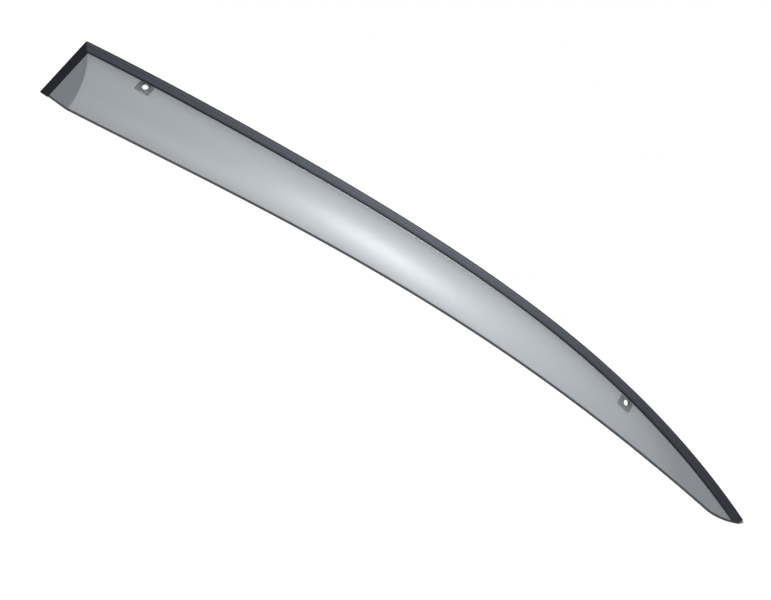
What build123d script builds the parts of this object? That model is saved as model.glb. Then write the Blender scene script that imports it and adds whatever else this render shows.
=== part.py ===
from build123d import *
import os
from math import asin, atan, cos, radians, sin, tan

# Window rain deflector for one car door, in millimetres. X runs along the chord of the upper edge, from the
# blunt rear corner to the nose. The glass is at Y = 0 at both ends of the chord and bows out between them.
# -Y is away from the car and +Z is up. On a section, "down" is measured from the upper edge along the glass
# and "out" is measured away from the glass.

# Whole part
LENGTH = 897.5
PLAN_RADIUS = 3500.0
WALL = 2.8

# Upper and lower edges: heights of the control points of two curves, evenly spaced along X
ROOF_SPAN = (0.0, LENGTH)
ROOF_HEIGHTS = (0.0, 35.9, 52.4, 82.8, 63.5, 0.5)
LIP_SPAN = (-2.0, 850.0)
LIP_HEIGHTS = (-74.5, -36.2, 12.8, 12.1, -12.5)

# Nose: the lower edge turns up to a small rounded tip
NOSE_CHIN = (866.0, -14.3)
NOSE_RISE = (889.0, -9.3)
NOSE_UNDER = (894.6, -4.2)
NOSE_TIP = (896.6, -1.6)
NOSE_OVER = (895.6, 1.4)

# Section across the blade
FLANGE = 11.6
BEND_RADIUS = 3.0
BLADE_ANGLE = 32.0
BLADE_RADIUS = 136.0
BLADE_END_ANGLE = -3.0
LIP_ROUND = 1.2

# Blunt end
REAR_LEAN = 7.0
REAR_FLANGE = 10.0
REAR_STEP = 0.25
CORNER_ROUND = 2.2
END_WALL_ANGLE = 37.0
END_WALL_TOP = 70.0

# Trim strips: a lip folded over the flange's edge, and a face that has a low ridge on the upper strip. The two
# meet in a mitre at the blunt end's upper corner.
TRIM_LIP = 0.8
TRIM_EDGE = 0.9
TRIM_RIDGE = 2.2
TRIM_FOOT = 1.5
TRIM_RIDGE_DOWN = 5.4
TRIM_WIDTH = 11.4
TRIM_LIP_BACK = 0.3
TRIM_ROUND = 0.5
TRIM_RIDGE_ROUND = 6.0
TRIM_END_X = 893.7
REAR_TRIM_THICK = 1.3
REAR_TRIM_WIDTH = 9.8

# Foam tape behind the flanges
TAPE = 1.1
TAPE_MARGIN = 2.2
TAPE_SHORT = 2.6
TAPE_START_X = 2.5
TAPE_END_X = 870.0
REAR_TAPE_END = 70.0

# Clip landings, thickened on the inner side, with a hole square to the blade: places along the upper edge, and
# how far the landings may reach past the flange's back, which the tape holds off the door
CLIPS = (76.9, 703.5)
CLIP_DOWN = 14.4
CLIP_HOLE = 7.0
PAD_WIDTH = 16.8
PAD_BELOW = 6.4
PAD_ABOVE = 4.7
PAD_DEPTH = 2.6
PAD_CORNER = 1.0
PAD_REACH = 0.7

# How far construction solids run past the part
SPARE = 12.0
STATION_X = (-40, 0, 80, 160, 240, 320, 400, 480, 560, 640, 700, 760, 810, 860, 915)
TRIM_STATION_X = [x for x in STATION_X if x < TRIM_END_X] + [TRIM_END_X]


def height(heights, span, x):
    """Height at x of the curve with these control heights, also a little past its span."""
    share = (x - span[0]) / (span[1] - span[0])
    row = list(heights)
    while len(row) > 1:
        row = [low + (high - low) * share for low, high in zip(row, row[1:])]
    return row[0]


def roof(x):
    return height(ROOF_HEIGHTS, ROOF_SPAN, x)


def curve(heights, span):
    """The same curve as an edge on the XZ plane's own axes."""
    step = (span[1] - span[0]) / (len(heights) - 1)
    return Bezier(*[(span[0] + step * i, z) for i, z in enumerate(heights)])


def plan_angle(x):
    return asin((x - LENGTH / 2) / PLAN_RADIUS)


def glass_point(x, z):
    """The point of the glass at x and z."""
    sagitta = PLAN_RADIUS * cos(plan_angle(x)) - PLAN_RADIUS * cos(plan_angle(0))
    return Vector(x, -sagitta, z)


def section_plane(x):
    """Plane square to the upper edge at x: its own x runs down the glass and its own y runs out of it."""
    angle = plan_angle(x)
    step = 0.5
    rise = (roof(x + step) - roof(x - step)) / (2 * step) * cos(angle)
    along = Vector(cos(angle), sin(angle), rise).normalized()
    out = Vector(sin(angle), -cos(angle), 0)
    return Plane(glass_point(x, roof(x)), x_dir=along.cross(out), z_dir=-along)


def rear_plane():
    """Plane square to the blunt end: its own x runs to the nose along the glass and its own y runs out."""
    angle = plan_angle(0)
    level = Vector(cos(angle), sin(angle), 0)
    out = Vector(sin(angle), -cos(angle), 0)
    lean = radians(REAR_LEAN)
    to_nose = level * cos(lean) - Vector(0, 0, sin(lean))
    return Plane(glass_point(0, 0), x_dir=to_nose, z_dir=to_nose.cross(out))


def arc(centre, radius, start, end):
    """Arc about centre, between two angles from the outward direction, in degrees."""

    def at(angle):
        return (centre[0] + radius * sin(radians(angle)), centre[1] + radius * cos(radians(angle)))

    return ThreePointArc(at(start), at((start + end) / 2), at(end))


def skin_profile(level, turn_down, angle, rest):
    """Everything behind a skin that lies flat, level out of the glass, and then bends out by angle. The flat's
    back and the straight wall past the bend would meet at turn_down. rest gives the edges from the bend's end
    to the back corner.
    """
    radius = BEND_RADIUS + WALL - level
    start = turn_down - (BEND_RADIUS + WALL) * tan(radians(angle / 2))
    bend = arc((start, WALL + BEND_RADIUS), radius, 180, 180 - angle)
    back_corner = (-SPARE, -2 * SPARE)
    flat = Polyline(back_corner, (-SPARE, level), bend @ 0)
    return make_face([flat, bend] + rest(bend @ 1, back_corner))


def blade_circle(level):
    """Centre and radius of the blade's arc, on the outer or inner skin."""
    angle = radians(BLADE_ANGLE)
    bend = FLANGE - (BEND_RADIUS + WALL) * tan(angle / 2)
    reach = BEND_RADIUS + BLADE_RADIUS
    centre = (bend + reach * sin(angle), WALL + BEND_RADIUS - reach * cos(angle))
    return centre, BLADE_RADIUS - WALL + level


def blade_profile(level):
    """Section behind the upper flange and the blade, whose outer or inner skin is level out of the glass."""

    def rest(corner, back_corner):
        centre, radius = blade_circle(level)
        blade = arc(centre, radius, -BLADE_ANGLE, -BLADE_END_ANGLE)
        end = blade @ 1
        return [blade, Polyline(end, (end.X, back_corner[1]), back_corner)]

    return skin_profile(level, FLANGE, BLADE_ANGLE, rest)


def end_profile(level):
    """Section behind the rear flange and the end wall, running on over the whole length of the part."""

    def rest(corner, back_corner):
        run = (END_WALL_TOP - corner.Y) / tan(radians(END_WALL_ANGLE))
        top = (corner.X + run, END_WALL_TOP)
        far = LENGTH + 6 * SPARE
        deep = -LENGTH / 4
        return [Polyline(corner, top, (far, END_WALL_TOP), (far, deep), (back_corner[0], deep), back_corner)]

    return skin_profile(level, REAR_FLANGE, END_WALL_ANGLE, rest)


def along_roof(face, stations=STATION_X):
    """Solid swept along the upper edge with this section."""
    return loft([section_plane(x) * face for x in stations])


def along_rear(face, start, end):
    """Solid along the blunt end with this section, from start to end below the upper corner."""
    plane = rear_plane()
    return extrude(plane.offset(start) * face, end - start, dir=plane.z_dir)


def behind_skin(level):
    """Everything behind the shell's outer or inner skin, whose flange is level out of the glass."""
    blade = along_roof(blade_profile(level))
    end = along_rear(end_profile(level), -LENGTH / 5, LENGTH / 6)
    return blade & Pos(rear_plane().y_dir * REAR_STEP) * end


def outline(inset):
    """Solid that holds all within the side view's outline, its upper and rear edges moved in by inset."""
    left, right, low, high = -LENGTH, 2 * LENGTH, -LENGTH, LENGTH
    roof_edge = curve([z - inset for z in ROOF_HEIGHTS], ROOF_SPAN)
    under_roof = make_face(
        [roof_edge, Polyline(roof_edge @ 1, (right, low), (left, low), (left, -inset), roof_edge @ 0)]
    )
    lip = curve(LIP_HEIGHTS, LIP_SPAN)
    nose = Bezier(lip @ 1, NOSE_CHIN, NOSE_RISE, NOSE_UNDER)
    tip = ThreePointArc(NOSE_UNDER, NOSE_TIP, NOSE_OVER)
    heel = (left, LIP_HEIGHTS[0])
    over_lip = make_face(
        [lip, nose, tip, Polyline(NOSE_OVER, (NOSE_OVER[0], high), (left, high), heel, lip @ 0)]
    )
    lean = tan(radians(REAR_LEAN))
    past_rear = make_face(
        Polyline((inset + low * lean, low), (right, low), (right, high), (inset + high * lean, high), close=True)
    )
    side_view = under_roof & over_lip & past_rear
    corner = side_view.vertices().sort_by_distance((0, 0, 0))[0]
    side_view = fillet(corner, CORNER_ROUND - inset)
    half_depth = LENGTH / 8
    return extrude(Plane.XZ.offset(-half_depth) * side_view, 2 * half_depth)


def clip_plane(x):
    """Plane on the outer skin at a clip hole: its own x is level and its own z is the way out of the hole."""
    section = section_plane(x)
    centre, radius = blade_circle(WALL)
    lean = asin((centre[0] - CLIP_DOWN) / radius)
    skin = section.from_local_coords((CLIP_DOWN, centre[1] + radius * cos(lean), 0))
    out = section.y_dir * cos(lean) - section.x_dir * sin(lean)
    return Plane(skin, x_dir=out.cross(Vector(0, 0, -1)), z_dir=out)


def clip_pad(x, outer):
    """Landing of one clip, from the outer skin to its flat inner face, with upright sides and its other two
    sides along the upper edge.
    """
    half = PAD_WIDTH / 2
    rise = (roof(x + half) - roof(x - half)) / 2
    corners = [
        (-half, PAD_ABOVE - rise),
        (-half, -PAD_BELOW - rise),
        (half, -PAD_BELOW + rise),
        (half, PAD_ABOVE + rise),
    ]
    face = make_face(Polyline(corners, close=True))
    face = fillet(face.vertices(), PAD_CORNER)
    depth = WALL + PAD_DEPTH
    block = extrude(clip_plane(x).offset(-depth) * face, 2 * depth)
    axis = glass_point(LENGTH / 2, 0) + Vector(0, PLAN_RADIUS, 0)
    door = Pos(axis) * Cylinder(PLAN_RADIUS - PAD_REACH, LENGTH)
    return (block & outer) - door


def clip_hole(x):
    """What is cut away at one clip."""
    return clip_plane(x) * Cylinder(CLIP_HOLE / 2, 2 * SPARE)


def round_lip(shell, inner):
    """The shell with the outer side of its lower edge rounded, from the rear flange to the nose."""
    lower = [face for face in shell.faces() if face.normal_at(face.center()).Z < -0.9]
    edges = [edge for face in lower for edge in face.edges() if edge.length > 2 * SPARE]
    return shell.fillet(LIP_ROUND, [edge for edge in edges if inner.distance_to(edge @ 0.5) > WALL / 2])


def make_shell(outer, inner):
    shell = (outer - inner) & outline(TRIM_LIP)
    shell = round_lip(shell.solid(), inner)
    for x in CLIPS:
        shell = shell + clip_pad(x, outer)
        shell = shell - clip_hole(x)
    return shell


def mitre():
    """Everything on the rear strip's side of the joint between the strips, which runs from their outer corner
    to their inner corner.
    """
    rise = atan(roof(1.0) - roof(0.0)) + radians(REAR_LEAN)
    inner_down = (TRIM_WIDTH - REAR_TRIM_WIDTH * sin(rise)) / cos(rise)
    behind = (-REAR_TRIM_WIDTH, inner_down)
    ahead = (SPARE * REAR_TRIM_WIDTH, -SPARE * inner_down)
    face = make_face(Polyline(behind, ahead, (behind[0], ahead[1]), close=True))
    rear = rear_plane()
    return extrude(Plane(rear.origin, x_dir=rear.x_dir, z_dir=rear.y_dir) * face, SPARE, both=True)


def make_top_trim(filled):
    face = make_face(
        Polyline(
            (0, TRIM_LIP_BACK),
            (0, WALL + TRIM_EDGE),
            (TRIM_RIDGE_DOWN, WALL + TRIM_RIDGE),
            (TRIM_WIDTH, WALL + TRIM_FOOT),
            (TRIM_WIDTH, WALL / 2),
            (2 * TRIM_LIP, WALL / 2),
            (2 * TRIM_LIP, TRIM_LIP_BACK),
            close=True,
        )
    )
    face = fillet(face.vertices().sort_by(Axis.Y)[-1], TRIM_RIDGE_ROUND)
    outer_corners = face.vertices().filter_by(lambda corner: corner.Y > WALL).sort_by(Axis.X)
    face = fillet([outer_corners[0], outer_corners[-1]], TRIM_ROUND)
    strip = along_roof(face, TRIM_STATION_X) & outline(0)
    return strip - filled - mitre()


def make_rear_trim(filled):
    top = WALL + REAR_STEP + REAR_TRIM_THICK
    face = make_face(
        Polyline(
            (0, TRIM_LIP_BACK),
            (0, top - TRIM_LIP),
            (TRIM_LIP, top),
            (REAR_TRIM_WIDTH, top),
            (REAR_TRIM_WIDTH, WALL / 2),
            (2 * TRIM_LIP, WALL / 2),
            (2 * TRIM_LIP, TRIM_LIP_BACK),
            close=True,
        )
    )
    strip = along_rear(face, -SPARE, LENGTH / 8) & outline(0)
    return (strip - filled) & mitre()


def make_top_tape(inner):
    width = FLANGE - TAPE_SHORT - TAPE_MARGIN
    face = Pos(TAPE_MARGIN, -TAPE) * Rectangle(width, TAPE + WALL, align=Align.MIN)
    between = [x for x in STATION_X if TAPE_START_X < x < TAPE_END_X]
    return along_roof(face, [TAPE_START_X, *between, TAPE_END_X]) & inner


def make_rear_tape(inner):
    width = REAR_FLANGE - TAPE_SHORT - TAPE_MARGIN
    face = Pos(TAPE_MARGIN, -TAPE) * Rectangle(width, TAPE + WALL, align=Align.MIN)
    return along_rear(face, FLANGE, REAR_TAPE_END) & inner


outer_skin = behind_skin(WALL)
inner_skin = behind_skin(0)
filled_shell = outer_skin & outline(TRIM_LIP)
nodes = {
    "deflector_shell": make_shell(outer_skin, inner_skin),
    "top_trim": make_top_trim(filled_shell),
    "rear_trim": make_rear_trim(filled_shell),
    "top_tape": make_top_tape(inner_skin),
    "rear_tape": make_rear_tape(inner_skin),
}

os.makedirs("parts", exist_ok=True)
for name, node in nodes.items():
    print(name, "volume", round(node.volume), "solids", len(node.solids()), "valid", node.is_valid)
    export_step(node, f"parts/{name}.step")
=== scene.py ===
import math

import bmesh
import bpy
import numpy as np
from mathutils import Matrix, Vector
from mathutils.kdtree import KDTree


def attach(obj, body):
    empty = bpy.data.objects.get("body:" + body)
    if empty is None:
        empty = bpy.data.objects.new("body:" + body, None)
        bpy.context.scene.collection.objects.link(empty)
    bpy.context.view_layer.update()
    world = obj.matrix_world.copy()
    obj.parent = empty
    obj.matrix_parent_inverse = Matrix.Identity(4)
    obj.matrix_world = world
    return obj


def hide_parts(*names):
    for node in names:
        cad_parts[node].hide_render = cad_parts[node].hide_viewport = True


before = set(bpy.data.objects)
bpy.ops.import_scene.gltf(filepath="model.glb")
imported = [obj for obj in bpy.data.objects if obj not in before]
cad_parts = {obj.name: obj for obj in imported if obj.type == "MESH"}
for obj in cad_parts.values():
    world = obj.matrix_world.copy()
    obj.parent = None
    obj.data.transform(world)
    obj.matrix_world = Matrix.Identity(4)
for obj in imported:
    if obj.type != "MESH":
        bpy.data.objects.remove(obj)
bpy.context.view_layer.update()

MM = 0.001

# Window rain deflector, worked out in millimetres on the same frame as the solids. X runs along the chord of
# the upper edge, -Y is away from the car and +Z is up. On a section square to the upper edge, "down" is
# measured along the glass and "out" away from it.

# Whole part and its two long edges, each drawn by evenly spaced control heights. The lower one runs on round
# the nose. HALF_RUN scales what changes towards both ends.
LENGTH = 897.5
PLAN_RADIUS = 3500.0
WALL = 2.8
ROOF_HEIGHTS = (0.0, 35.9, 52.4, 82.8, 63.5, 0.5)
LIP_SPAN = (-2.0, 850.0)
LIP_HEIGHTS = (-74.5, -36.2, 12.8, 12.1, -12.5)
NOSE = ((866.0, -14.3), (889.0, -9.3), (894.6, -4.2))
NOSE_TIP = (896.6, -1.6)
NOSE_OVER = (895.6, 1.4)
HALF_RUN = 430.0

# Sections of the blade and of the blunt end. The shell's edges lie EDGE_INSET inside the part's outline and
# its outer skin lies SKIN under the solid's. CREASE softens the line where blade and end wall meet, in full
# where both stand out by CREASE_GROWS.
FLANGE = 11.6
BEND_RADIUS = 3.0
BLADE_ANGLE = math.radians(32.0)
BLADE_RADIUS = 136.0
REAR_LEAN = math.radians(7.0)
REAR_FLANGE = 10.0
REAR_STEP = 0.25
CORNER_ROUND = 2.2
END_WALL_ANGLE = math.radians(37.0)
EDGE_INSET = 0.8
CREASE = 1.9
CREASE_GROWS = 3.0
SKIN = 0.04

# Rounding of the lower edge: LIP_REACH down and LIP_OUTER_ROUND deep on the outer side, and less than that
# where the blade is narrower than FULL_ROUND_WIDTH
LIP_REACH = 3.4
LIP_OUTER_ROUND = 2.2
LIP_INNER_ROUND = 0.45
FULL_ROUND_WIDTH = 30.0

# Clip landings at two places along the upper edge, each with a hole. They reach PAD_REACH behind the flange's
# back at most.
CLIPS = (76.9, 703.5)
CLIP_DOWN = 14.4
CLIP_HOLE = 7.0
PAD_WIDTH = 16.8
PAD_BELOW = 7.0
PAD_ABOVE = 4.7
PAD_DEPTH = 2.6
PAD_REACH = 0.7
PAD_CORNER = 1.2

# Trims. The upper one's section is drawn TRIM_WIDTH wide and then narrowed: it is narrowest near
# TRIM_WAIST_X, wider towards both ends, and flares at the mitre and at the nose.
TRIM_END_X = 893.7
TRIM_WIDTH = 11.4
TRIM_NARROWEST = 10.2
TRIM_WAIST_X = 480.0
TRIM_BOW = 0.6
MITRE_FLARE = 0.3
MITRE_FLARE_RUN = 15.0
NOSE_FLARE = 0.5
NOSE_FLARE_RUN = 40.0
TRIM_BACK = 0.3
REAR_TRIM_WIDTH = 10.6
REAR_TRIM_THICK = 1.3
REAR_TRIM_LEAN = 0.13
SEAT_GAP = 0.04
MITRE_GAP = 0.02

# How far the trims stay inside the part's outline, and more than that at the nose's lower edge
ROOF_MARGIN = 0.02
REAR_MARGIN = 0.01
LIP_MARGIN = 0.03
NOSE_MARGIN = 1.4
NOSE_FROM_X = 800.0

# How clear the shell's surface is, from 0 to 1, with painted shade in it. Painted shade darkens it within
# EDGE_SHADE_WIDTH of the lower edge, as far as EDGE_SHADE_DEPTH under the outer skin, and on the bend down to
# BEND_SHADE_REACH below the upper edge, a little less at both ends. Landings are dark from PAD_STARTS behind
# the inner skin, and painted shade dims the holes from HOLE_STARTS behind the outer one.
EDGE_SHADE_WIDTH = 2.85
EDGE_SHADE_FADE = 0.25
EDGE_SHADE_DEPTH = 2.3
BEND_SHADE_REACH = 11.1
BEND_SHADE_LESS = 0.35
BEND_MIDDLE_X = 440.0
BEND_SHADE_FADE = 0.7
BEND_SHADE_NOSE_FADE = 0.4
PAD_CLEAR = 0.12
PAD_STARTS = 0.25
PAD_SLACK = 0.05
HOLE_SHADE_CLEAR = 0.45
HOLE_STARTS = 0.3
HOLE_RIM = 0.32

# Photograph's view, in metres and in the photograph's pixels
CAMERA_PLACE = (0.13831, -2.33486, 0.37831)
CAMERA_FORWARD = (0.1200, 0.9775, -0.1736)
CAMERA_ROLL = math.radians(37.311)
FOCAL_PIXELS = 2182
PHOTO_WIDTH = 771
SENSOR_WIDTH = 36.0

# Floor, and what reflections see of the room at these heights of the view direction
FLOOR_MIDDLE_X = 450.0
FLOOR_RADIUS = 8000.0
FLOOR_Z = -1000.0
FLOOR_SIDES = 96
ROOM_BANDS = ((0.08, 0.45), (0.2, 0.12), (0.35, 0.15), (0.6, 0.8), (0.74, 0.8), (0.86, 0.1))

# Soft panels face the middle of the part. A spot is its strength, then its place across and up and its spread
# across and up in metres.
PART_MIDDLE = (0.43, -0.03, 0.0)
PANEL_COLOUR = (0.93, 0.965, 1.0)
WIDE_SPOTS = (
    (3.4, 0.05, 0.55, 1.25, 1.65),
    (0.8, 0.1, -0.15, 1.3, 0.25),
    (-0.5, -0.75, -1.1, 0.5, 0.4),
    (-1.2, 1.6, -0.9, 0.6, 0.6),
    (0.7, -0.9, -0.4, 0.5, 0.25),
    (-0.75, -1.1, 0.5, 0.45, 0.6),
)
SMALL_SPOTS = ((6.4, 0.0, 0.0, 0.31, 0.33),)


def height(heights, span, x):
    """Height at x of the curve that these control heights draw over a span."""
    share = (np.asarray(x, float) - span[0]) / (span[1] - span[0])
    row = list(heights)
    while len(row) > 1:
        row = [low + (high - low) * share for low, high in zip(row, row[1:])]
    return row[0]


def roof(x):
    """Height of the upper edge."""
    return height(ROOF_HEIGHTS, (0.0, LENGTH), x)


def roof_slope(x):
    """Rise of the upper edge over one millimetre round x."""
    return roof(x + 0.5) - roof(x - 0.5)


def lip(x):
    """Height of the lower edge, up to the nose."""
    return np.where(x < LIP_SPAN[0], LIP_HEIGHTS[0], height(LIP_HEIGHTS, LIP_SPAN, x))


def plan_angle(x):
    """Angle by which the door has turned in plan at x."""
    return np.arcsin((x - LENGTH / 2) / PLAN_RADIUS)


def stack(*axes):
    """Points from their coordinates, each an array or a number."""
    return np.stack(np.broadcast_arrays(*axes), axis=-1)


def section_axes(x):
    """Origin, out and down of the section square to the upper edge at x."""
    x = np.asarray(x, float)
    angle = plan_angle(x)
    rise = roof_slope(x) * np.cos(angle)
    origin = stack(x, -PLAN_RADIUS * (np.cos(angle) - np.cos(plan_angle(0.0))), roof(x))
    size = np.sqrt(1 + rise**2)[..., None]
    out = stack(np.sin(angle), -np.cos(angle), 0.0)
    down = stack(rise * np.cos(angle), rise * np.sin(angle), -1.0) / size
    return origin, out, down


def section_point(x, down_by, out_by):
    """Point of the section at x."""
    origin, out, down = section_axes(x)
    return origin + down * np.asarray(down_by, float)[..., None] + out * np.asarray(out_by, float)[..., None]


def rear_axes():
    """Directions of the blunt end's section: towards the nose, out, and down along the rear edge."""
    angle = plan_angle(0.0)
    level = np.array([np.cos(angle), np.sin(angle), 0.0])
    out = np.array([np.sin(angle), -np.cos(angle), 0.0])
    to_nose = level * math.cos(REAR_LEAN) - np.array([0.0, 0.0, math.sin(REAR_LEAN)])
    return to_nose, out, np.cross(to_nose, out)


TO_NOSE, REAR_OUT, REAR_DOWN = rear_axes()


def rear_point(run, out_by, down_by):
    """Point of the blunt end's section, at this distance down the rear edge."""
    run, out_by, down_by = (np.asarray(v, float)[..., None] for v in (run, out_by, down_by))
    return TO_NOSE * run + REAR_OUT * out_by + REAR_DOWN * down_by


def bend_start(turn, angle):
    """Where a bend starts, for flat sides that would meet at turn."""
    return turn - (BEND_RADIUS + WALL) * math.tan(angle / 2)


def bend_out(past, level, angle):
    """How far out a skin is, at this distance past the start of its bend, up to the bend's end."""
    radius = BEND_RADIUS + WALL - level
    past = np.clip(past, 0.0, radius * math.sin(angle))
    return WALL + BEND_RADIUS - np.sqrt(radius**2 - past**2)


def blade_centre():
    """Down and out of the centre of the blade's arc."""
    start = bend_start(FLANGE, BLADE_ANGLE)
    reach = BEND_RADIUS + BLADE_RADIUS
    return start + reach * math.sin(BLADE_ANGLE), WALL + BEND_RADIUS - reach * math.cos(BLADE_ANGLE)


def blade_out(down_by, level):
    """How far out a skin of the flange and blade is, at this distance below the upper edge."""
    start = bend_start(FLANGE, BLADE_ANGLE)
    centre = blade_centre()
    radius = BLADE_RADIUS - WALL + level
    bent = start + (BEND_RADIUS + WALL - level) * math.sin(BLADE_ANGLE)
    beyond = centre[1] + np.sqrt(np.maximum(radius**2 - (down_by - centre[0]) ** 2, 1.0))
    return np.where(down_by < bent, bend_out(down_by - start, level, BLADE_ANGLE), beyond)


def end_out(run, level):
    """How far out a skin of the rear flange and end wall is, at this distance from the rear edge."""
    start = bend_start(REAR_FLANGE, END_WALL_ANGLE)
    bent = start + (BEND_RADIUS + WALL - level) * math.sin(END_WALL_ANGLE)
    wall = np.maximum(run - bent, 0.0) * math.tan(END_WALL_ANGLE)
    return bend_out(run - start, level, END_WALL_ANGLE) + wall + REAR_STEP


def solve_pair(point, first, second, x, z):
    """The two values at which a surface passes x and z, and its point there."""
    step = 0.01
    for _ in range(9):
        here = point(first, second)
        by_first = (point(first + step, second) - here) / step
        by_second = (point(first, second + step) - here) / step
        miss_x, miss_z = x - here[..., 0], z - here[..., 2]
        det = by_first[..., 0] * by_second[..., 2] - by_second[..., 0] * by_first[..., 2]
        first = first + (miss_x * by_second[..., 2] - by_second[..., 0] * miss_z) / det
        second = second + (by_first[..., 0] * miss_z - miss_x * by_first[..., 2]) / det
    return first, second, point(first, second)


def skin_y(x, z, level):
    """Y of the shell's outer or inner skin: blade and end wall, run into each other over a soft crease."""
    on_blade = solve_pair(lambda s, d: section_point(s, d, blade_out(d, level)), x, roof(x) - z, x, z)
    run = x - z * math.tan(REAR_LEAN)
    on_end = solve_pair(lambda r, d: rear_point(r, end_out(r, level), d), run, -z, x, z)
    blade, end = -on_blade[2][..., 1], -on_end[2][..., 1]
    proud = np.minimum(blade_out(on_blade[1], level), end_out(on_end[0], level) - REAR_STEP) - level
    soft = CREASE * np.clip(proud / CREASE_GROWS, 0.02, 1.0)
    near = np.maximum(soft - np.abs(blade - end), 0.0) / soft
    return -(np.minimum(blade, end) - near**2 * soft / 4)


def lower_edge():
    """Points of the lower edge in the side view, from the blunt end round the nose to near the upper edge."""
    rear_x = -7.0
    for _ in range(20):
        rear_x = EDGE_INSET + float(lip(rear_x)) * math.tan(REAR_LEAN)
    run = np.linspace(rear_x, LIP_SPAN[1], 900)
    points = [np.stack([run, lip(run)], axis=1)]
    share = np.linspace(0.0, 1.0, 90)[1:, None]
    row = [np.array([LIP_SPAN[1], float(lip(LIP_SPAN[1]))])] + [np.array(point) for point in NOSE]
    while len(row) > 1:
        row = [here + (after - here) * share for here, after in zip(row, row[1:])]
    points.append(row[0])

    # The nose's arc through three points, worked out with complex numbers
    start, tip, over = (complex(*point) for point in (NOSE[2], NOSE_TIP, NOSE_OVER))
    ratio = (over - start) / (tip - start)
    centre = (tip - start) * (ratio - abs(ratio) ** 2) / (2j * ratio.imag) + start
    turn = np.angle((over - centre) / (start - centre)) % (2 * math.pi)
    arc = centre + (start - centre) * np.exp(1j * np.linspace(0.0, turn, 80)[1:])
    arc = np.stack([arc.real, arc.imag], axis=1)
    tip_drop = 0.3
    points.append(arc[arc[:, 1] < roof(arc[:, 0]) - EDGE_INSET - tip_drop])
    return np.concatenate(points)


def along_line(points, shares):
    """Points at these shares of a line's length."""
    steps = np.hypot(*np.diff(points, axis=0).T)
    run = np.concatenate([[0.0], np.cumsum(steps)])
    return np.stack([np.interp(shares * run[-1], run, points[:, i]) for i in (0, 1)], axis=1)


def mesh_object(name, points, faces):
    mesh = bpy.data.meshes.new(name)
    mesh.from_pydata([tuple(p) for p in np.asarray(points) * MM], [], faces)
    mesh.validate()
    bm = bmesh.new()
    bm.from_mesh(mesh)
    bmesh.ops.recalc_face_normals(bm, faces=bm.faces)
    bm.to_mesh(mesh)
    bm.free()
    obj = bpy.data.objects.new(name, mesh)
    bpy.context.scene.collection.objects.link(obj)
    return obj


def smooth(obj, angle):
    obj.data.shade_smooth()
    obj.data.set_sharp_from_angle(angle=math.radians(angle))


def loops_object(name, loops):
    """Closed tube through rings of the same number of points, with both ends filled."""
    loops = np.asarray(loops)
    count, around = loops.shape[:2]
    faces = []
    for i in range(count - 1):
        for j in range(around):
            k = (j + 1) % around
            faces.append((i * around + j, i * around + k, (i + 1) * around + k, (i + 1) * around + j))
    faces.append(tuple(range(around)))
    faces.append(tuple((count - 1) * around + j for j in range(around)))
    return mesh_object(name, loops.reshape(-1, 3), faces)


def make_shell_skin():
    """The moulded shell without its clip landings, as one closed mesh."""
    # Columns along the part, closer together at both ends
    shares = np.concatenate(
        [np.linspace(0.0, 0.05, 46)[:-1], np.linspace(0.05, 0.97, 380)[:-1], np.linspace(0.97, 1.0, 42)]
    )
    low = lower_edge()
    tip_x = low[-1][0]
    tip_gap = 0.12
    top_x = np.linspace(EDGE_INSET * (1 - math.tan(REAR_LEAN)), tip_x - tip_gap, 1500)
    top = along_line(np.stack([top_x, roof(top_x) - EDGE_INSET], axis=1), shares)
    base = along_line(low, shares)
    tangent = np.gradient(base, axis=0)
    tangent /= np.hypot(*tangent.T)[:, None]
    inward = np.stack([-tangent[:, 1], tangent[:, 0]], axis=1)
    width = np.hypot(*(base - top).T)
    fit = np.minimum(1.0, width / FULL_ROUND_WIDTH)

    # Rows below the upper edge: fine ones over the bend, closer on a narrow blade, then wider ones below it
    head_room = 32.0
    head = np.array([0.0, 1.5, 4.0, 7.0, 9.2, 9.7, 10.2, 10.7, 11.2, 11.8, 12.6, 13.8])
    tail = np.concatenate([np.linspace(0.0, 1.0, 46)[1:-1], [0.985, 0.992, 1.0]])

    def rows(inset):
        end = base + inward * (inset * fit)[:, None]
        span = np.hypot(*(end - top).T)
        first = head[None, :] * np.minimum(1.0, span / head_room)[:, None]
        rest = first[:, -1:] + (span[:, None] - first[:, -1:]) * tail[None, :]
        part = np.concatenate([first, rest], axis=1) / span[:, None]
        return top[:, None, :] + (end - top)[:, None, :] * part[..., None]

    grids = []
    for inset, level in ((LIP_REACH, WALL - SKIN), (LIP_INNER_ROUND, 0.0)):
        flat = rows(inset)
        y = skin_y(flat[..., 0], flat[..., 1], level)
        grids.append(stack(flat[..., 0], y, flat[..., 1]))
    outer, inner = grids
    count = outer.shape[1]

    # Band round the lower edge, from the outer skin to the inner one
    edge_out, edge_in = outer[:, -1], inner[:, -1]
    outward = stack(-inward[:, 0], 0.0, -inward[:, 1])
    deep = np.array([0.0, 1.0, 0.0])
    band = []
    for turn in np.radians([5, 10, 20, 30, 45, 60, 75, 90]):
        push, sink = LIP_REACH * fit * math.sin(turn), LIP_OUTER_ROUND * fit * (1 - math.cos(turn))
        band.append(edge_out + outward * push[:, None] + deep * sink[:, None])
    for turn in np.radians([90, 60, 30]):
        push, sink = LIP_INNER_ROUND * fit * math.sin(turn), LIP_INNER_ROUND * fit * (1 - math.cos(turn))
        band.append(edge_in + outward * push[:, None] - deep * sink[:, None])
    ring = [outer[:, j] for j in range(count)] + band + [inner[:, j] for j in range(count - 1, -1, -1)]
    return loops_object("rain_deflector_shell", np.stack(ring, axis=1))


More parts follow.
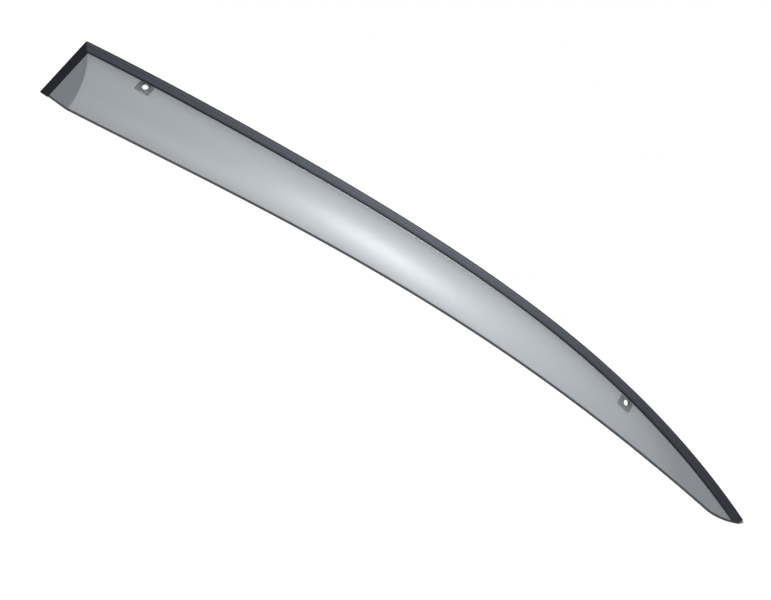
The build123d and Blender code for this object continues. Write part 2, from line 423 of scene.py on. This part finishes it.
def clip_axes(x):
    """Point on the outer skin at a clip hole, with the level, up and out directions of its landing."""
    centre = blade_centre()
    lean = math.asin((centre[0] - CLIP_DOWN) / BLADE_RADIUS)
    origin, out, down = section_axes(x)
    skin = origin + down * CLIP_DOWN + out * (centre[1] + BLADE_RADIUS * math.cos(lean))
    normal = out * math.cos(lean) - down * math.sin(lean)
    level = np.cross(normal, [0.0, 0.0, -1.0])
    level /= np.linalg.norm(level)
    return skin, level, np.cross(normal, level), normal


def pad_outline(x, inset):
    """Outline of a landing with rounded corners, moved in by inset."""
    half = PAD_WIDTH / 2
    rise = float(roof(x + half) - roof(x - half)) / 2
    half -= inset
    low, high = inset - PAD_BELOW, PAD_ABOVE - inset
    corners = [(-half, high - rise), (-half, low - rise), (half, low + rise), (half, high + rise)]
    return rounded_profile([(across, above, PAD_CORNER) for across, above in corners], 7)


def make_pad(x):
    """Thickened landing behind the blade, lifted where it would reach too far behind the flange's back."""
    skin, level, up, normal = clip_axes(x)
    axis = np.array([LENGTH / 2, -PLAN_RADIUS * (1 - math.cos(plan_angle(0.0))) + PLAN_RADIUS])
    back = -(WALL + PAD_DEPTH)
    # Loops as inset and depth, with a softened inner edge
    profile = [(0.0, back + 4.0), (0.0, back + 2.8), (0.0, back + 0.45), (0.12, back + 0.2), (0.45, back)]
    loops = []
    for inset, depth in profile:
        flat = pad_outline(x, inset)
        loop = skin + level * flat[:, :1] + up * flat[:, 1:] + normal * depth
        from_axis = loop[:, :2] - axis
        proud = np.hypot(*from_axis.T) - PLAN_RADIUS
        lift = np.maximum(-PAD_REACH - proud, 0.0)
        loops.append(loop + normal * (lift / abs(normal[1]))[:, None])
    return loops_object("landing", loops)


def make_hole_cutter(x):
    """What is taken away at a clip: the hole with softened ends."""
    skin, level, up, normal = clip_axes(x)
    hole = CLIP_HOLE / 2
    back = -(WALL + PAD_DEPTH)
    # Rings as radius and depth, from behind the landing to in front of the blade
    profile = [
        (hole + 0.9, back - 2.0),
        (hole + 0.3, back - 0.05),
        (hole, back + 0.3),
        (hole, -0.5),
        (hole + 0.25, -0.15),
        (hole + 0.7, 0.3),
        (hole + 0.7, 4.0),
    ]
    sides = 56
    turns = np.linspace(0.0, 2 * math.pi, sides, endpoint=False)
    loops = []
    for radius, depth in profile:
        ring = level * (radius * np.cos(turns))[:, None] + up * (radius * np.sin(turns))[:, None]
        loops.append(skin + ring + normal * depth)
    return loops_object("hole", loops)


def combine(obj, others, operation):
    """Joins closed meshes to a piece or cuts them from it, and removes them."""
    for other in others:
        step = obj.modifiers.new(operation, "BOOLEAN")
        step.object = other
        step.operation = operation
        step.solver = "MANIFOLD"
        bpy.context.view_layer.update()
        depsgraph = bpy.context.evaluated_depsgraph_get()
        mesh = bpy.data.meshes.new_from_object(obj.evaluated_get(depsgraph))
        obj.modifiers.clear()
        old = obj.data
        obj.data = mesh
        bpy.data.meshes.remove(old)
        bpy.data.objects.remove(other)


def rounded_profile(corners, steps=6):
    """Closed outline through corners of (first, second, radius), with each corner rounded."""
    points = []
    count = len(corners)
    for i, (x, y, radius) in enumerate(corners):
        here = np.array([x, y])
        before = np.array(corners[i - 1][:2]) - here
        after = np.array(corners[(i + 1) % count][:2]) - here
        if radius == 0:
            points.append(here)
            continue
        cut = min(radius, 0.45 * np.linalg.norm(before), 0.45 * np.linalg.norm(after))
        start = here + before / np.linalg.norm(before) * cut
        end = here + after / np.linalg.norm(after) * cut
        for t in np.linspace(0.0, 1.0, steps):
            points.append((1 - t) ** 2 * start + 2 * t * (1 - t) * here + t**2 * end)
    return np.array(points)


# Lower edge as far as the nose's foremost point
LOWER = lower_edge()
LOWER = LOWER[: int(np.argmax(LOWER[:, 0])) + 1]


def keep_inside(points):
    """Points of a trim, held inside the side view's outline and its rounded upper rear corner."""
    points = np.array(points)
    slope = math.tan(REAR_LEAN)
    points[..., 2] = np.minimum(points[..., 2], roof(points[..., 0]) - ROOF_MARGIN)
    margin = np.where(points[..., 0] > NOSE_FROM_X, NOSE_MARGIN, LIP_MARGIN)
    low = np.interp(points[..., 0], LOWER[:, 0], LOWER[:, 1]) + margin
    points[..., 2] = np.maximum(points[..., 2], low)
    points[..., 0] = np.maximum(points[..., 0], points[..., 2] * slope + REAR_MARGIN)
    up = np.array([math.sin(REAR_LEAN), math.cos(REAR_LEAN)])
    ahead = np.array([1.0, float(roof_slope(0.5))])
    ahead /= np.linalg.norm(ahead)
    in_rear, in_roof = np.array([up[1], -up[0]]), np.array([ahead[1], -ahead[0]])
    centre = np.linalg.solve(np.array([in_rear, in_roof]), [CORNER_ROUND, CORNER_ROUND])
    away = points[..., [0, 2]] - centre
    size = np.linalg.norm(away, axis=-1)
    outside = (away @ up > 0) & (away @ ahead < 0) & (size > CORNER_ROUND)
    pull = np.where(outside, CORNER_ROUND / np.maximum(size, 1e-6), 1.0)[..., None]
    points[..., [0, 2]] = centre + away * pull
    return points


def inner_corner():
    """How far below the outer corner the trims' inner corner is, along the rear edge."""
    rise = math.atan(float(roof_slope(0.5))) + REAR_LEAN
    return (TRIM_WIDTH - REAR_TRIM_WIDTH * math.sin(rise)) / math.cos(rise)


def strip_loops(section, ends, at):
    """Loops of a strip. ends(section) gives where each point of the section starts and stops, and
    at(section, run) gives its loop there. The loops are close together at the mitre, and the last four soften
    the other end."""
    middle = section.mean(axis=0)
    full = 900.0
    near = np.array([0.0, 0.15, 0.4, 0.8, 1.3, 1.9, 2.6, 3.4, 4.5]) / full
    shares = np.concatenate([near, np.linspace(5.5 / full, 1.0, 330)[:-4]])
    start, stop = ends(section)
    loops = [at(section, start + (stop - start) * share) for share in shares]
    for shrink, back in ((1.0, 0.7), (0.99, 0.3), (0.965, 0.1), (0.92, 0.0)):
        small = middle + (section - middle) * shrink
        loops.append(at(small, ends(small)[1] - back))
    return keep_inside(loops)


def trim_width(x):
    """Width of the upper trim, narrowest towards the middle."""
    x = np.maximum(x, 0.0)
    bow = TRIM_BOW * ((x - TRIM_WAIST_X) / HALF_RUN) ** 2
    at_mitre = MITRE_FLARE * np.exp(-x / MITRE_FLARE_RUN)
    at_nose = NOSE_FLARE * np.exp((x - TRIM_END_X) / NOSE_FLARE_RUN)
    return TRIM_NARROWEST + bow + at_mitre + at_nose


def make_top_trim():
    """Strip over the upper flange and its edge, with a fine groove and a face that rises to its foot."""
    seat = WALL + SEAT_GAP

    def on_shell(down):
        return down, float(blade_out(np.array(down), WALL)) + SEAT_GAP, 0.0

    # Corners as down, out and rounding: over the edge, across the groove to the foot, and back on the shell
    section = rounded_profile(
        [
            (0.0, TRIM_BACK, 0.2),
            (0.0, 3.6, 0.7),
            (4.5, 4.45, 0.0),
            (4.8, 4.2, 0.0),
            (6.2, 4.62, 0.8),
            (9.7, 5.1, 0.5),
            (TRIM_WIDTH, 4.0, 0.5),
            on_shell(TRIM_WIDTH),
            on_shell(10.7),
            (9.9, seat, 0.0),
            (EDGE_INSET + SEAT_GAP, seat, 0.0),
            (EDGE_INSET + SEAT_GAP, TRIM_BACK, 0.2),
        ]
    )
    inner = inner_corner()

    def ends(flat):
        damping = 1.3
        x = np.zeros(len(flat))
        for _ in range(40):
            here = section_point(x, flat[:, 0], flat[:, 1])
            past_mitre = (here @ TO_NOSE) * inner - (here @ REAR_DOWN) * REAR_TRIM_WIDTH
            x = x - past_mitre / (damping * inner)
        return x + MITRE_GAP, np.full(len(flat), TRIM_END_X)

    def at(flat, x):
        over_edge = 2.0
        down = np.where(flat[:, 0] > over_edge, flat[:, 0] * trim_width(x) / TRIM_WIDTH, flat[:, 0])
        seated = np.abs(flat[:, 1] - blade_out(flat[:, 0], WALL) - SEAT_GAP) < 1e-6
        return section_point(x, down, np.where(seated, blade_out(down, WALL) + SEAT_GAP, flat[:, 1]))

    return loops_object("upper_trim_strip", strip_loops(section, ends, at))


def make_rear_trim():
    """Flat strip over the rear flange and its edge, cut off along the lower edge."""
    top = WALL + REAR_STEP + REAR_TRIM_THICK
    seat = WALL + REAR_STEP + SEAT_GAP

    def on_shell(run):
        return run, float(end_out(np.array(run), WALL)) + SEAT_GAP, 0.0

    # Corners as run, out and rounding: over the edge, across the face, and back on the shell
    section = rounded_profile(
        [
            (REAR_TRIM_LEAN * TRIM_BACK, TRIM_BACK, 0.2),
            (REAR_TRIM_LEAN * 3.7, top - 0.7, 0.8),
            (1.5, top, 0.8),
            (REAR_TRIM_WIDTH, top, 0.8),
            on_shell(REAR_TRIM_WIDTH),
            on_shell(8.8),
            (7.7, seat, 0.0),
            (REAR_TRIM_LEAN * seat + EDGE_INSET + SEAT_GAP, seat, 0.0),
            (EDGE_INSET + SEAT_GAP, TRIM_BACK, 0.2),
        ]
    )
    slope = inner_corner() / REAR_TRIM_WIDTH

    def ends(flat):
        shortest, longest, end_gap = 50.0, 110.0, 0.02
        low, high = np.full(len(flat), shortest), np.full(len(flat), longest)
        for _ in range(40):
            middle = (low + high) / 2
            here = rear_point(flat[:, 0], flat[:, 1], middle)
            below = here[:, 2] < lip(here[:, 0])
            low, high = np.where(below, low, middle), np.where(below, middle, high)
        return flat[:, 0] * slope + MITRE_GAP, low - end_gap

    def at(flat, down):
        return rear_point(flat[:, 0], flat[:, 1], down)

    return loops_object("rear_trim_strip", strip_loops(section, ends, at))


def link(tree, source, target):
    tree.links.new(source, target)


def feed(tree, value, socket):
    """Links a socket to another one, or sets it to a number."""
    if isinstance(value, (int, float)):
        socket.default_value = value
    else:
        link(tree, value, socket)


def new_material(name):
    material = bpy.data.materials.new(name)
    material.use_nodes = True
    tree = material.node_tree
    return material, tree, tree.nodes["Principled BSDF"]


def noise(tree, coordinates, scale, detail=3.0, roughness=0.55):
    node = tree.nodes.new("ShaderNodeTexNoise")
    node.inputs["Scale"].default_value = scale
    node.inputs["Detail"].default_value = detail
    node.inputs["Roughness"].default_value = roughness
    link(tree, coordinates, node.inputs["Vector"])
    return node.outputs["Fac"]


def remap(tree, value, low, high, from_low=0.3, from_high=0.7):
    node = tree.nodes.new("ShaderNodeMapRange")
    node.inputs["From Min"].default_value = from_low
    node.inputs["From Max"].default_value = from_high
    node.inputs["To Min"].default_value = low
    node.inputs["To Max"].default_value = high
    link(tree, value, node.inputs["Value"])
    return node.outputs["Result"]


def ramp(tree, value, stops):
    node = tree.nodes.new("ShaderNodeValToRGB")
    while len(node.color_ramp.elements) < len(stops):
        node.color_ramp.elements.new(0.5)
    for element, (position, colour) in zip(node.color_ramp.elements, stops):
        element.position = position
        element.color = (*colour, 1.0)
    link(tree, value, node.inputs["Fac"])
    return node.outputs["Color"]


def bump(tree, value, strength, distance, shader):
    node = tree.nodes.new("ShaderNodeBump")
    node.inputs["Strength"].default_value = strength
    node.inputs["Distance"].default_value = distance
    link(tree, value, node.inputs["Height"])
    link(tree, node.outputs["Normal"], shader.inputs["Normal"])


def object_coordinates(tree):
    return tree.nodes.new("ShaderNodeTexCoord").outputs["Object"]


def smoke_acrylic():
    """Clear smoke-tinted acrylic under a glossier coat: its tint comes from the depth of plastic that light
    passes, and it is darker where mark_clear_and_painted_shade says so, with painted shade on the lower edge,
    the bend and the holes."""
    material, tree, shader = new_material("smoke_acrylic")
    clear = tree.nodes.new("ShaderNodeAttribute")
    clear.attribute_name = "clear"
    # Base colour follows the clear attribute: near black on the painted shade of the lower edge and the bend
    # and dark behind the landings, grey where painted shade dims the holes, white elsewhere.
    colours = [(0.0, (0.012, 0.014, 0.016)), (0.4, (0.1, 0.105, 0.11)), (1.0, (1.0, 1.0, 1.0))]
    link(tree, ramp(tree, clear.outputs["Fac"], colours), shader.inputs["Base Color"])
    shader.inputs["Transmission Weight"].default_value = 1.0
    shader.inputs["IOR"].default_value = 1.49
    shader.inputs["Coat Weight"].default_value = 1.0
    shader.inputs["Coat IOR"].default_value = 1.6
    shader.inputs["Coat Roughness"].default_value = 0.16
    at = object_coordinates(tree)
    haze = noise(tree, at, scale=34.0, detail=4.0, roughness=0.6)
    link(tree, remap(tree, haze, low=0.28, high=0.31), shader.inputs["Roughness"])
    bump(tree, noise(tree, at, scale=26.0, detail=2.0), strength=0.04, distance=0.001, shader=shader)
    tint = tree.nodes.new("ShaderNodeVolumeAbsorption")
    tint.inputs["Color"].default_value = (0.0, 0.062, 0.11, 1.0)
    tint.inputs["Density"].default_value = 520.0
    link(tree, tint.outputs["Volume"], tree.nodes["Material Output"].inputs["Volume"])
    return material


def moulded_trim(name, dark, light, roughness, specular):
    """Fine-grained moulded strip plastic."""
    material, tree, shader = new_material(name)
    shader.inputs["Specular IOR Level"].default_value = specular
    shader.inputs["Specular Tint"].default_value = (0.84, 0.88, 1.0, 1.0)
    at = object_coordinates(tree)
    grain = noise(tree, at, scale=1900.0, detail=2.0)
    patches = noise(tree, at, scale=60.0, detail=3.0)
    link(tree, ramp(tree, patches, [(0.3, dark), (0.7, light)]), shader.inputs["Base Color"])
    link(tree, remap(tree, grain, roughness - 0.05, roughness + 0.07), shader.inputs["Roughness"])
    bump(tree, grain, strength=0.25, distance=0.00008, shader=shader)
    return material


def foam_tape():
    """Closed-cell foam tape."""
    material, tree, shader = new_material("foam_tape")
    shader.inputs["Specular IOR Level"].default_value = 0.2
    at = object_coordinates(tree)
    cells = tree.nodes.new("ShaderNodeTexVoronoi")
    cells.inputs["Scale"].default_value = 1500.0
    link(tree, at, cells.inputs["Vector"])
    colours = [(0.1, (0.010, 0.010, 0.011)), (0.6, (0.028, 0.028, 0.030))]
    link(tree, ramp(tree, cells.outputs["Distance"], colours), shader.inputs["Base Color"])
    wear = noise(tree, at, scale=300.0)
    link(tree, remap(tree, wear, low=0.75, high=0.95), shader.inputs["Roughness"])
    bump(tree, cells.outputs["Distance"], strength=0.6, distance=0.0002, shader=shader)
    return material


def mark_clear_and_painted_shade(obj):
    """Keeps how clear the shell's surface is: dark with painted shade on the outer side of the lower edge and
    on the bend beside the upper trim, clear past that trim's end, dark behind the landings, and dimmed in
    their holes by painted shade."""
    line = lower_edge()
    tree = KDTree(len(line))
    for i, (x, z) in enumerate(line):
        tree.insert((x, 0.0, z), i)
    tree.balance()
    points = np.array([p.co for p in obj.data.vertices]) / MM
    # Painted shade: a dark band along the lower edge, on its outer side only.
    away = np.array([tree.find((x, 0.0, z))[2] for x, _, z in points])
    depth = points[:, 1] - skin_y(points[:, 0], points[:, 2], WALL)
    clear = np.clip((away - EDGE_SHADE_WIDTH) / EDGE_SHADE_FADE, 0.0, 1.0)
    clear[depth > EDGE_SHADE_DEPTH] = 1.0

    # Painted shade on the bend just below the upper trim, reaching a little less far down towards both ends.
    slope = roof_slope(points[:, 0])
    below = (roof(points[:, 0]) - points[:, 2]) / np.sqrt(1 + slope**2)
    bent = BEND_SHADE_REACH - BEND_SHADE_LESS * ((points[:, 0] - BEND_MIDDLE_X) / HALF_RUN) ** 2
    clear = np.minimum(clear, np.clip((below - bent) / BEND_SHADE_FADE, 0.0, 1.0))

    # Past the upper trim's end the bend has no painted shade.
    trim_end = [TRIM_END_X, float(roof(TRIM_END_X))]
    ahead = np.array([1.0, float(roof_slope(TRIM_END_X))])
    past = (points[:, [0, 2]] - trim_end) @ (ahead / np.linalg.norm(ahead))
    clear = np.maximum(clear, np.clip(past / BEND_SHADE_NOSE_FADE, 0.0, 1.0))

    half = PAD_WIDTH / 2
    for x in CLIPS:
        skin, level, up, normal = clip_axes(x)
        from_skin = points - skin
        across, upward, out_by = from_skin @ level, from_skin @ up, from_skin @ normal
        above = upward - across * float(roof(x + half) - roof(x - half)) / PAD_WIDTH
        on_pad = np.abs(across) < half + PAD_SLACK
        on_pad &= (above > -PAD_BELOW - PAD_SLACK) & (above < PAD_ABOVE + PAD_SLACK)
        clear = np.where(on_pad & (out_by < -WALL - PAD_STARTS), PAD_CLEAR, clear)
        # Painted shade dims the walls of each clip hole.
        in_hole = np.hypot(across, upward) < CLIP_HOLE / 2 + HOLE_RIM
        clear = np.where(in_hole & (out_by < -HOLE_STARTS), HOLE_SHADE_CLEAR, clear)
    obj.data.attributes.new("clear", "FLOAT", "POINT").data.foreach_set("value", clear)


def put_on(obj, material):
    obj.data.materials.clear()
    obj.data.materials.append(material)


def combine_values(tree, operation, first, second):
    """A math node on two values, each a socket or a number."""
    node = tree.nodes.new("ShaderNodeMath")
    node.operation = operation
    for value, socket in zip((first, second), node.inputs):
        feed(tree, value, socket)
    return node.outputs[0]


def mix_values(tree, share, low, high):
    """low where share is 0, high where it is 1."""
    node = tree.nodes.new("ShaderNodeMix")
    for value, socket in zip((share, low, high), (node.inputs["Factor"], node.inputs["A"], node.inputs["B"])):
        feed(tree, value, socket)
    return node.outputs["Result"]


def background_rays(tree, reflected):
    """1 for rays that see the background straight or through the plastic, and a share for reflected ones."""
    path = tree.nodes.new("ShaderNodeLightPath")
    seen = combine_values(tree, "MAXIMUM", path.outputs["Is Camera Ray"], path.outputs["Is Transmission Ray"])
    mirrored = combine_values(tree, "MULTIPLY", path.outputs["Is Glossy Ray"], reflected)
    return combine_values(tree, "MAXIMUM", seen, mirrored)


def backdrop_material(name, grey, strength, reflected):
    """Plain pale surface that is white where it is the background."""
    material, tree, shader = new_material(name)
    shader.inputs["Base Color"].default_value = (grey, grey, grey, 1.0)
    shader.inputs["Roughness"].default_value = 0.9
    shader.inputs["Specular IOR Level"].default_value = 0.0
    shader.inputs["Emission Color"].default_value = (1.0, 1.0, 1.0, 1.0)
    seen = background_rays(tree, reflected)
    glow = remap(tree, seen, low=0.0, high=strength, from_low=0.0, from_high=1.0)
    link(tree, glow, shader.inputs["Emission Strength"])
    return material


def from_middle(tree, share, size, middle, spread):
    """Distance from a spot's middle along one side of a panel, in spreads of the spot."""
    low, high = (-size / 2 - middle) / spread, (size / 2 - middle) / spread
    return remap(tree, share, low, high, from_low=0.0, from_high=1.0)


def soft_panel(azimuth, elevation, distance, width, tall, fill, spots):
    """Panel that faces the middle of the part, as bright as fill with soft spots added or taken away."""
    light = bpy.data.lights.new("soft_panel", "AREA")
    light.shape = "RECTANGLE"
    light.size = width
    light.size_y = tall
    light.energy = math.pi * width * tall
    light.color = PANEL_COLOUR
    light.use_nodes = True
    tree = light.node_tree
    at = tree.nodes.new("ShaderNodeSeparateXYZ")
    link(tree, tree.nodes.new("ShaderNodeNewGeometry").outputs["Parametric"], at.inputs["Vector"])
    total = fill
    for strength, middle_x, middle_y, spread_x, spread_y in spots:
        x = from_middle(tree, at.outputs["X"], width, middle_x, spread_x)
        y = from_middle(tree, at.outputs["Y"], tall, middle_y, spread_y)
        square_x = combine_values(tree, "MULTIPLY", x, x)
        square_y = combine_values(tree, "MULTIPLY", y, y)
        square = combine_values(tree, "ADD", square_x, square_y)
        spot = combine_values(tree, "EXPONENT", combine_values(tree, "MULTIPLY", square, -0.5), 0.0)
        total = combine_values(tree, "ADD", combine_values(tree, "MULTIPLY", spot, strength), total)
    link(tree, total, tree.nodes["Emission"].inputs["Strength"])
    panel = bpy.data.objects.new("soft_panel", light)
    bpy.context.scene.collection.objects.link(panel)
    turn, lift = math.radians(azimuth), math.radians(elevation)
    toward = Vector((math.sin(turn) * math.cos(lift), -math.cos(turn) * math.cos(lift), math.sin(lift)))
    across = Vector((0, 0, 1)).cross(toward).normalized()
    turned = Matrix((across, toward.cross(across), toward)).transposed().to_4x4()
    panel.matrix_world = Matrix.Translation(Vector(PART_MIDDLE) + toward * distance) @ turned
    panel.visible_camera = False
    panel.visible_transmission = False


# Pieces
shell = make_shell_skin()
combine(shell, [make_pad(x) for x in CLIPS], "UNION")
combine(shell, [make_hole_cutter(x) for x in CLIPS], "DIFFERENCE")
smooth(shell, angle=32)
# Painted shade on the shell's lower edge, bend and holes, kept with how clear it is.
mark_clear_and_painted_shade(shell)
top_trim = make_top_trim()
smooth(top_trim, angle=40)
rear_trim = make_rear_trim()
smooth(rear_trim, angle=40)

# Materials
smoke = smoke_acrylic()
charcoal = moulded_trim(
    "charcoal_trim", dark=(0.011, 0.0115, 0.014), light=(0.015, 0.0155, 0.019), roughness=0.33, specular=0.42
)
black = moulded_trim(
    "black_trim", dark=(0.007, 0.007, 0.008), light=(0.011, 0.011, 0.013), roughness=0.55, specular=0.15
)
foam = foam_tape()
put_on(shell, smoke)
put_on(top_trim, charcoal)
put_on(rear_trim, black)
for piece, node, slot in (
    (shell, "deflector_shell", "smoke_acrylic"),
    (top_trim, "top_trim", "charcoal_trim"),
    (rear_trim, "rear_trim", "black_trim"),
):
    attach(piece, "root")
    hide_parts(node)
for node in ("top_tape", "rear_tape"):
    for i in range(len(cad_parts[node].material_slots)):
        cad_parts[node].material_slots[i].material = foam

# Camera at the photograph's angle
forward = Vector(CAMERA_FORWARD).normalized()
sideways = forward.cross(Vector((0, 0, 1))).normalized()
upward = sideways.cross(forward)
right = sideways * math.cos(CAMERA_ROLL) + upward * math.sin(CAMERA_ROLL)
up = upward * math.cos(CAMERA_ROLL) - sideways * math.sin(CAMERA_ROLL)
camera_data = bpy.data.cameras.new("camera")
camera_data.sensor_width = SENSOR_WIDTH
camera_data.sensor_fit = "HORIZONTAL"
camera_data.lens = SENSOR_WIDTH * FOCAL_PIXELS / PHOTO_WIDTH
camera = bpy.data.objects.new("camera", camera_data)
bpy.context.scene.collection.objects.link(camera)
camera_turn = Matrix((right, up, -forward)).transposed().to_4x4()
camera.matrix_world = Matrix.Translation(CAMERA_PLACE) @ camera_turn
bpy.context.scene.camera = camera

# Plain pale floor, well below the part
turns = np.linspace(0.0, 2 * math.pi, FLOOR_SIDES, endpoint=False)
ring = stack(FLOOR_MIDDLE_X + FLOOR_RADIUS * np.cos(turns), FLOOR_RADIUS * np.sin(turns), FLOOR_Z)
floor = mesh_object("floor", ring, [tuple(range(FLOOR_SIDES))])
put_on(floor, backdrop_material("floor", grey=0.55, strength=0.92, reflected=0.1))
floor.visible_transmission = False

# Room: white to the camera, fading overhead through the plastic, in bands to reflections, and a dim fill
world = bpy.data.worlds.new("room")
bpy.context.scene.world = world
world.use_nodes = True
tree = world.node_tree
background = tree.nodes["Background"]
background.inputs["Color"].default_value = (1.0, 1.0, 1.0, 1.0)
toward = tree.nodes.new("ShaderNodeSeparateXYZ")
link(tree, tree.nodes.new("ShaderNodeTexCoord").outputs["Generated"], toward.inputs["Vector"])
overhead = toward.outputs["Z"]
through = remap(tree, overhead, low=1.0, high=0.15, from_low=0.26, from_high=0.64)
straight = tree.nodes.new("ShaderNodeLightPath").outputs["Is Camera Ray"]
backdrop = mix_values(tree, straight, through, 1.0)
fill = remap(tree, overhead, low=0.4, high=0.25, from_low=0.0, from_high=1.0)
mirrored = ramp(tree, overhead, [(z, (grey, grey, grey)) for z, grey in ROOM_BANDS])
path = tree.nodes.new("ShaderNodeLightPath")
room = mix_values(tree, path.outputs["Is Glossy Ray"], fill, mirrored)
link(tree, mix_values(tree, background_rays(tree, 0.0), room, backdrop), background.inputs["Strength"])

# Soft light: a large panel high in front of the part, and a smaller one above its middle for the highlight
soft_panel(azimuth=3.0, elevation=20.5, distance=3.0, width=4.7, tall=4.2, fill=0.4, spots=WIDE_SPOTS)
soft_panel(azimuth=0.3, elevation=28.2, distance=3.0, width=2.0, tall=2.2, fill=0.0, spots=SMALL_SPOTS)

bpy.context.scene.view_settings.view_transform = "Standard"
